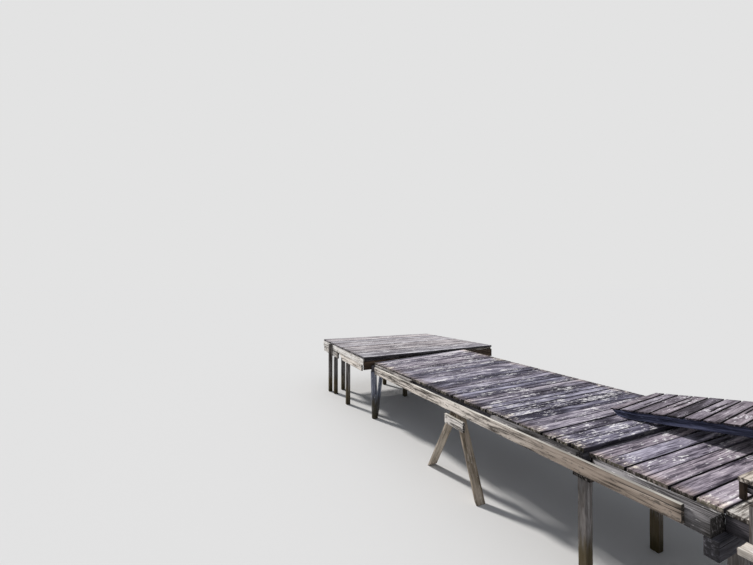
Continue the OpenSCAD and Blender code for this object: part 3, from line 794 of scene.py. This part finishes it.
def weathered_wood(name, dark, mid, light, pale, patches=0.5, contrast=1.0, grime=0.6, tone_swing=0.3,
                   hue_swing=0.35, flecks=0.0, painted_side_shade=0.0, end_colour=None, painted_top_highlight=False,
                   toward_shore=None, algae=()):
    """Old unpainted wood: washed grain, streaks, pale patches and dirt by the edges, with painted shade
    on sides, undersides and cracks, and a painted highlight on tops.
    """
    n = Nodes(name)
    dark, mid, light, pale = (srgb(*colour) for colour in (dark, mid, light, pale))
    grain = n.mark("grain")
    _, across, deep = n.parts(grain)
    edge, end, split = n.parts(n.mark("wear"))
    tone, warmth, chalky = n.parts(n.mark("board"))

    # Year rings around the heart of the tree
    drift = n.swing(n.noise(grain, RING_DRIFT, 2, 0.55), 0.035)
    radius = n.math("SQRT", n.add(n.times(across, across), n.times(deep, deep)))
    late = n.band(n.math("FRACT", n.times(n.add(radius, drift), RINGS)), 0.55, 0.98)

    # The grain's colour, which swings from board to board
    fine = n.noise(grain, FIBRES, 5, 0.65)
    streak = n.noise(grain, STREAKS, 5, 0.62)
    broad = n.noise(grain, BROAD_STREAKS, 4, 0.6)
    cloud = n.noise(grain, CLOUDS, 3)
    level = n.blend((streak, 1.3 * contrast), (broad, 1.5 * contrast), (fine, 0.8 * contrast))
    level = n.math("SUBTRACT", level, 1.8 * contrast - 0.5)
    level = n.add(level, n.swing(tone, tone_swing))
    level = n.math("SUBTRACT", level, n.times(late, LATE_WOOD))
    colour = n.ramp(level, [(0.12, dark), (0.5, mid), (0.88, light)])
    cool = (1 - 0.12 * hue_swing, 1 - 0.04 * hue_swing, 1 + 0.10 * hue_swing, 1)
    warm = (1 + 0.13 * hue_swing, 1.0, 1 - 0.10 * hue_swing, 1)
    colour = n.mix(1.0, colour, n.ramp(warmth, [(0.0, cool), (1.0, warm)]), "MULTIPLY")

    # Tinted between two places toward the shore, where the painted top highlight is dimmer too
    top_highlight_colour = pale
    if toward_shore:
        from_x, to_x, tint = toward_shore
        at_shore = n.band(n.place()[0], from_x, to_x)
        colour = n.mix(at_shore, colour, n.mix(1.0, colour, tint, "MULTIPLY"))
        top_highlight_colour = n.mix(at_shore, pale, dimmed(pale, 0.62))

    # Dark flecks, pale chalky patches and a painted sunlit highlight on faces that look up
    if flecks:
        spots = n.blend((n.noise(grain, SPOTS, 4, 0.6), 0.7), (n.noise(grain, KNOTS, 2), 0.3))
        colour = n.mix(n.times(n.band(spots, 0.45, 0.37), flecks), colour, dimmed(dark, 1.3))
    if patches:
        chalk = n.blend((n.noise(grain, BLOTCHES, 4, 0.62), 0.75), (streak, 0.25))
        chalk = n.add(n.add(chalk, n.swing(cloud, 0.45)), n.swing(chalky, 0.07))
        mask = n.band(chalk, 0.645 - 0.08 * patches, 0.69 - 0.07 * patches)
        colour = n.mix(n.times(mask, 0.9), colour, pale)
    if painted_top_highlight:
        lit = n.times(n.facing_up(0.35, 0.8), n.band(n.add(streak, broad), 0.6, 0.9))
        colour = n.mix(lit, colour, top_highlight_colour)

    # Warmer toward the ends, then dirt by the edges and ends, and painted shade darkening sides and
    # undersides
    if end_colour:
        warm_end = n.band(n.add(end, n.times(cloud, 0.8)), 0.75, 1.35)
        warmed = n.mix(1.0, colour, (1.0, 0.91, 0.74, 1), "MULTIPLY")
        colour = n.mix(n.times(warm_end, 0.75), colour, warmed)
    dirt = n.add(edge, n.times(n.band(end, 0.7, 1.0), 0.35))
    dirt = n.times(dirt, n.band(n.add(streak, cloud), 0.8, 1.15))
    colour = n.mix(n.times(dirt, grime, clamp=True), colour, dimmed(dark, 0.38))
    if painted_side_shade:
        under = n.times(n.math("SUBTRACT", 1.0, n.facing_up(0.25, 0.7)), painted_side_shade)
        colour = n.mix(n.times(under, n.band(end, 0.997, 0.98)), colour, dimmed(dark, 0.2))

    # Sawn ends, which swing from dark to light with the board's tone, and painted shade, near black, in
    # cracks and open seams
    end_grain = n.times(n.band(end, 0.98, 0.997), n.band(streak, 0.72, 0.45))
    end_base = srgb(*end_colour) if end_colour else dimmed(dark, 0.6)
    sawn = n.mix(n.band(tone, 0.15, 0.85), dimmed(end_base, 0.25), dimmed(end_base, 1.7))
    colour = n.mix(end_grain, colour, sawn)
    colour = n.mix(n.times(n.band(split, 0.1, 0.7), 0.94), colour, dimmed(dark, 0.08))

    # Damp wood and algae up to a height
    if algae:
        height = n.add(n.place()[2], n.swing(streak, 0.45))
    for top, damp, strength in algae:
        below = n.math("SUBTRACT", 1.0, n.band(height, top - 0.12, top + 0.12))
        colour = n.mix(n.times(below, strength), colour, srgb(*damp))

    n.bump(n.blend((fine, 0.7), (late, 0.35), (streak, 0.9)), 0.55, 2.5 * MM)
    n.put(n.shader.inputs["Base Color"], colour)
    n.put(n.shader.inputs["Roughness"], n.add(0.74, n.times(streak, 0.22)))
    n.put(n.shader.inputs["Specular IOR Level"], 0.22)
    return n.material


def rusted_iron(name, dark, brown, orange):
    """Nail heads gone brown, with pits and a little orange."""
    n = Nodes(name)
    place = n.mark("grain")
    spots = n.noise(place, RUST_SPOTS, 4, 0.6)
    stops = [(0.35, srgb(*dark)), (0.5, srgb(*brown)), (0.68, srgb(*orange))]
    n.put(n.shader.inputs["Base Color"], n.ramp(spots, stops))
    n.bump(n.noise(place, RUST_PITS, 2), 0.5, 0.6 * MM)
    n.put(n.shader.inputs["Roughness"], 0.8)
    return n.material


# Colours are given as dark, usual and light grain, then chalk; toward_shore as the two places
# between which a tint comes in; algae as height, colour and strength
# The deck, ramp, lower and head woods paint shade onto their sides and undersides
deck_wood = weathered_wood(
    "deck_wood", (44, 40, 54), (128, 123, 138), (212, 206, 218), (250, 247, 250), patches=0.9,
    contrast=1.35, tone_swing=0.45, painted_side_shade=0.7, end_colour=(68, 64, 54),
    toward_shore=(-1.2, 0.3, (0.83, 0.84, 0.88, 1)))
ramp_wood = weathered_wood(
    "ramp_wood", (44, 38, 45), (122, 114, 124), (180, 172, 182), (226, 222, 228), patches=0.55,
    contrast=1.15, grime=0.5, tone_swing=0.4, painted_side_shade=0.98)
lower_wood = weathered_wood(
    "lower_wood", (58, 53, 66), (164, 156, 171), (220, 213, 225), (252, 249, 252), patches=0.75,
    contrast=1.15, painted_side_shade=0.9, end_colour=(102, 97, 84))
head_wood = weathered_wood(
    "head_wood", (92, 87, 92), (172, 167, 173), (222, 217, 220), (244, 241, 243), patches=0.9,
    contrast=1.5, tone_swing=0.45, painted_side_shade=0.9)
packing_wood = weathered_wood(
    "packing_wood", (56, 53, 51), (166, 161, 160), (208, 203, 200), (236, 232, 230), patches=0.4,
    contrast=1.7, grime=0.8, hue_swing=0.2, flecks=0.4,
    toward_shore=(-0.3, 1.6, (0.60, 0.60, 0.62, 1)))
bleached_wood = weathered_wood(
    "bleached_wood", (90, 82, 76), (222, 214, 204), (248, 242, 234), (255, 252, 247), patches=0.6,
    contrast=1.3, grime=0.5, flecks=0.6)
# The beam's tops get a painted sunlit highlight in its pale colour
beam_wood = weathered_wood(
    "beam_wood", (74, 69, 64), (212, 205, 197), (236, 230, 223), (252, 247, 238), patches=0,
    contrast=1.25, grime=0.4, flecks=0.8, painted_top_highlight=True,
    toward_shore=(1.3, 3.1, (0.42, 0.375, 0.34, 1)))
leg_wood = weathered_wood(
    "leg_wood", (70, 60, 50), (168, 155, 138), (206, 194, 178), (226, 216, 202), patches=0.4)
shaded_wood = weathered_wood(
    "shaded_wood", (34, 33, 36), (84, 82, 88), (122, 119, 124), (154, 150, 154), patches=0.1)
# The ramp's frame is painted slate blue as the sky-lit shade on its sides
ramp_shaded_side_wood = weathered_wood(
    "ramp_shaded_side_wood", (38, 42, 60), (88, 94, 122), (132, 138, 162), (160, 164, 184), patches=0.1,
    contrast=1.3)
# The head's cross beams and the landing posts are painted dark brown as the shade they stand in
shaded_brown_wood = weathered_wood(
    "shaded_brown_wood", (24, 18, 15), (60, 48, 40), (96, 80, 66), (132, 118, 102), patches=0.1)
# The logs' blue-grey is painted sky-lit shade over grey wood, with real algae toward the water
sky_shaded_log_wood = weathered_wood(
    "sky_shaded_log_wood", (42, 45, 56), (112, 118, 136), (158, 164, 178), (200, 202, 208), patches=0.5,
    algae=[(0.42, (70, 62, 34), 0.7), (0.16, (46, 40, 18), 0.8)])
pile_wood = weathered_wood(
    "pile_wood", (52, 46, 40), (116, 112, 110), (162, 159, 159), (192, 190, 190), patches=0.25,
    algae=[(0.42, (74, 62, 30), 0.75), (0.16, (46, 40, 18), 0.8)])
nail_iron = rusted_iron("nail_iron", (30, 24, 22), (66, 46, 36), (112, 68, 42))


# The pieces: name, CAD nodes, material, slot and how the boards wear

PIECES = [
    ("head_deck", ["head_planks"], head_wood, "deck_wood", PLANK),
    ("head_side_rims", ["head_rims"], bleached_wood, "bleached_wood", TIMBER),
    ("head_lower_beams", ["head_beam_near_shore", "head_beam_near_lake", "head_beam_far"],
     bleached_wood, "bleached_wood", TIMBER),
    ("head_frame", ["head_joists", "head_bearers"], shaded_wood, "shaded_wood", TIMBER),
    # The cross beams take the dark brown painted shade
    ("head_cross_beams", ["head_cross_shore", "head_cross_lake"], shaded_brown_wood, "shaded_wood", TIMBER),
    ("head_piles", ["head_piles_near", "head_piles_inner", "head_piles_far"],
     pile_wood, "pile_wood", POST),
    ("walkway_deck_lake", ["walkway_planks_lake"], deck_wood, "deck_wood", ROUGH),
    ("walkway_deck_shore", ["walkway_planks_shore"], deck_wood, "deck_wood", ROUGH),
    ("walkway_frame", ["walkway_headers", "joist_near", "joist_middle", "joist_far"],
     shaded_wood, "shaded_wood", TIMBER),
    ("shore_packing", ["packing_timbers"], packing_wood, "deck_wood", TIMBER),
    ("outer_beams", ["outer_beam_near", "outer_beam_far"], beam_wood, "beam_wood", TIMBER),
    ("logs", ["log_posts", "log_props"], sky_shaded_log_wood, "pile_wood", POST),
    ("trestle", ["trestle_legs", "trestle_ridge"], leg_wood, "shaded_wood", TIMBER),
    ("trestle_braces", ["trestle_boards"], beam_wood, "bleached_wood", TIMBER),
    ("shore_bent", ["shore_bent_cap", "shore_bent_posts"], pile_wood, "pile_wood", POST),
    ("lower_deck", ["lower_deck_planks"], lower_wood, "deck_wood", PLANK),
    ("lower_stringers", ["lower_deck_stringers"], packing_wood, "deck_wood", TIMBER),
    ("apron_deck", ["apron_boards"], bleached_wood, "bleached_wood", PLANK),
    ("apron_frame", ["apron_stringers", "apron_bearers"], shaded_wood, "shaded_wood", TIMBER),
    ("shore_posts", ["apron_posts", "corner_posts", "side_step_legs"], pile_wood, "pile_wood", POST),
    ("side_step", ["side_step_boards"], bleached_wood, "bleached_wood", PLANK),
    ("side_step_frame", ["side_step_rails"], shaded_wood, "shaded_wood", TIMBER),
    ("landing_deck", ["landing_boards"], bleached_wood, "bleached_wood", PLANK),
    ("landing_frame", ["landing_rails"], shaded_wood, "shaded_wood", TIMBER),
    # The landing posts take the dark brown painted shade
    ("landing_posts_shaded", ["landing_posts"], shaded_brown_wood, "pile_wood", POST),
    ("ramp_deck", ["ramp_planks"], ramp_wood, "deck_wood", RAMP),
    ("ramp_frame", ["ramp_stringers", "ramp_rest"], ramp_shaded_side_wood, "shaded_wood", TIMBER),
]

# The first piece's seed, and the lake packing's
FIRST_SEED = 700
PACKING_SEED = 800

# The lake packing: its two ends from the walkway's shore end, and how far its underside and its
# top lie below the walkway's edge, in millimetres
PACKING_ENDS = (-4.80, -3.21)
PACKING_DROPS = (60, 20)


def middles(*nodes):
    """The lines along the middle of joists."""
    return [(low[1] + high[1]) / 2 for low, high in (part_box(node) for node in nodes)]


# Lines that the deck planks are nailed along, by the joists and stringers under them
joist_lines = middles("joist_near", "joist_middle", "joist_far")
NAIL_LINES = {
    "walkway_deck_lake": joist_lines,
    "walkway_deck_shore": joist_lines,
    "lower_deck": [y + inward for y, inward in zip(joist_lines, (0.09, 0, -0.09))],
}


def add_piece(name, batch, material, slot, *replaced):
    """Makes one piece of what was gathered, on the jetty's one body."""
    mesh = bpy.data.meshes.new(name)
    mesh.from_pydata(np.concatenate(batch.points).tolist(), [], np.concatenate(batch.faces).tolist())
    for mark, values in batch.marks.items():
        layer = mesh.attributes.new(mark, "FLOAT_VECTOR", "POINT")
        layer.data.foreach_set("vector", np.concatenate(values).astype(np.float32).ravel())
    mesh.polygons.foreach_set("use_smooth", [True] * len(mesh.polygons))
    mesh.materials.append(material)
    mesh.validate()
    mesh.update()
    thing = bpy.data.objects.new(name, mesh)
    bpy.context.scene.collection.objects.link(thing)
    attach(thing, "root")
    if replaced:
        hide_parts(*replaced)


heads = Batch()
for number, (name, nodes, material, slot, look) in enumerate(PIECES):
    rng = np.random.default_rng(FIRST_SEED + number)
    batch = Batch()
    nails = (heads, NAIL_LINES[name]) if name in NAIL_LINES else None
    for node in nodes:
        for rank, (points, faces) in enumerate(solids(node)):
            split = RAMP_SPLITS.get(rank) if node == "ramp_planks" else None
            if node == "lower_deck_stringers" and len(points) > BOX_POINTS:
                for part in rebated(points):
                    wood_board(batch, part, None, look, rng, axes=np.eye(3))
            elif len(points) > BOARD_POINTS:
                wood_log(batch, points, rng)
            else:
                wood_board(batch, points, faces, look, rng, nails=nails, split=split)
    add_piece(name, batch, material, slot, *nodes)
add_piece("nail_heads", heads, nail_iron, None)

# A packing strip by the walkway's lake end, between the outer beam and the plank ends
near_packing = min((points for points, _ in solids("packing_timbers")), key=lambda p: p[:, 1].mean())
near_edge = []
for points, _ in solids("walkway_planks_lake"):
    near_end = points[points[:, 1] < points[:, 1].min() + 0.01]
    near_edge.append((near_end[:, 0].mean(), near_end[:, 2].max()))
slope, level = np.polyfit(*np.array(near_edge).T, 1)
corners = [
    (x, y, slope * x + level - drop * MM)
    for x in (DECK_X + PACKING_ENDS[0], DECK_X + PACKING_ENDS[1])
    for y in (near_packing[:, 1].min() + 1 * MM, near_packing[:, 1].max() - 1 * MM)
    for drop in PACKING_DROPS]
strip = Batch()
wood_board(strip, np.array(corners), None, TIMBER, np.random.default_rng(PACKING_SEED), axes=np.eye(3))
add_piece("lake_packing", strip, packing_wood, "deck_wood")


# Floor, light and camera

FLOOR_REACH = 400.0
FLOOR_COLOUR = (0.80, 0.80, 0.80, 1)
SKY_COLOUR = (0.90, 0.94, 1.0, 1)
SKY_STRENGTH = 0.42
HORIZON_COLOUR = (227, 227, 227)

# The sun: where it stands, its strength, its breadth in degrees and its colour
SUN_TOWARDS = (-1.15, -0.42, 0.85)
SUN_STRENGTH = 3.2
SUN_BREADTH = 6.0
SUN_COLOUR = (1.0, 0.97, 0.93)

# The camera: its place, its lens and film width in millimetres, and where it looks in degrees,
# turned from the lake end's direction and up
EYE = (5.36785, -4.805, 2.913)
LENS = 17.307
FILM = 36.0
TURN = 24.3
RISE = 0.5

scene = bpy.context.scene
scene.view_settings.view_transform = "Standard"


def facing(back):
    """The turn of a lamp or camera whose back points along a direction."""
    back = unit(np.array(back, float))
    side = unit(np.cross(UP, back))
    rows = [(*side, 0), (*np.cross(back, side), 0), (*back, 0), (0, 0, 0, 1)]
    return Matrix(rows).transposed()


floor_mesh = bpy.data.meshes.new("floor")
floor_corners = [(x * FLOOR_REACH, y * FLOOR_REACH, 0) for x, y in ((-1, -1), (1, -1), (1, 1), (-1, 1))]
floor_mesh.from_pydata(floor_corners, [], [(0, 1, 2, 3)])
floor_look = Nodes("floor")
floor_look.put(floor_look.shader.inputs["Base Color"], FLOOR_COLOUR)
floor_look.put(floor_look.shader.inputs["Roughness"], 0.9)
floor_look.put(floor_look.shader.inputs["Specular IOR Level"], 0.0)
floor_mesh.materials.append(floor_look.material)
floor = bpy.data.objects.new("floor", floor_mesh)
scene.collection.objects.link(floor)

# The sky lights the jetty; what the camera and clear or glossy surfaces see of it goes on from the floor
world = bpy.data.worlds.new("studio")
scene.world = world
world.use_nodes = True
world_nodes = world.node_tree.nodes
link = world.node_tree.links.new
sky = world_nodes["Background"]
sky.inputs["Color"].default_value = SKY_COLOUR
sky.inputs["Strength"].default_value = SKY_STRENGTH
horizon = world_nodes.new("ShaderNodeBackground")
horizon.inputs["Color"].default_value = srgb(*HORIZON_COLOUR)
path = world_nodes.new("ShaderNodeLightPath")
seen = path.outputs["Is Camera Ray"]
for ray in ("Is Glossy Ray", "Is Transmission Ray"):
    either = world_nodes.new("ShaderNodeMath")
    either.operation = "MAXIMUM"
    link(seen, either.inputs[0])
    link(path.outputs[ray], either.inputs[1])
    seen = either.outputs[0]
choice = world_nodes.new("ShaderNodeMixShader")
link(seen, choice.inputs[0])
link(sky.outputs[0], choice.inputs[1])
link(horizon.outputs[0], choice.inputs[2])
link(choice.outputs[0], world_nodes["World Output"].inputs[0])

sun_data = bpy.data.lights.new("sun", "SUN")
sun_data.energy = SUN_STRENGTH
sun_data.angle = math.radians(SUN_BREADTH)
sun_data.color = SUN_COLOUR
sun = bpy.data.objects.new("sun", sun_data)
scene.collection.objects.link(sun)
sun.matrix_world = Matrix.Translation((0, 0, 12)) @ facing(SUN_TOWARDS)

camera_data = bpy.data.cameras.new("camera")
camera_data.sensor_width = FILM
camera_data.lens = LENS
camera = bpy.data.objects.new("camera", camera_data)
scene.collection.objects.link(camera)
scene.camera = camera
turn = math.radians(TURN)
rise = math.radians(RISE)
ahead = (-math.cos(turn) * math.cos(rise), math.sin(turn) * math.cos(rise), math.sin(rise))
camera.matrix_world = Matrix.Translation(EYE) @ facing([-part for part in ahead])
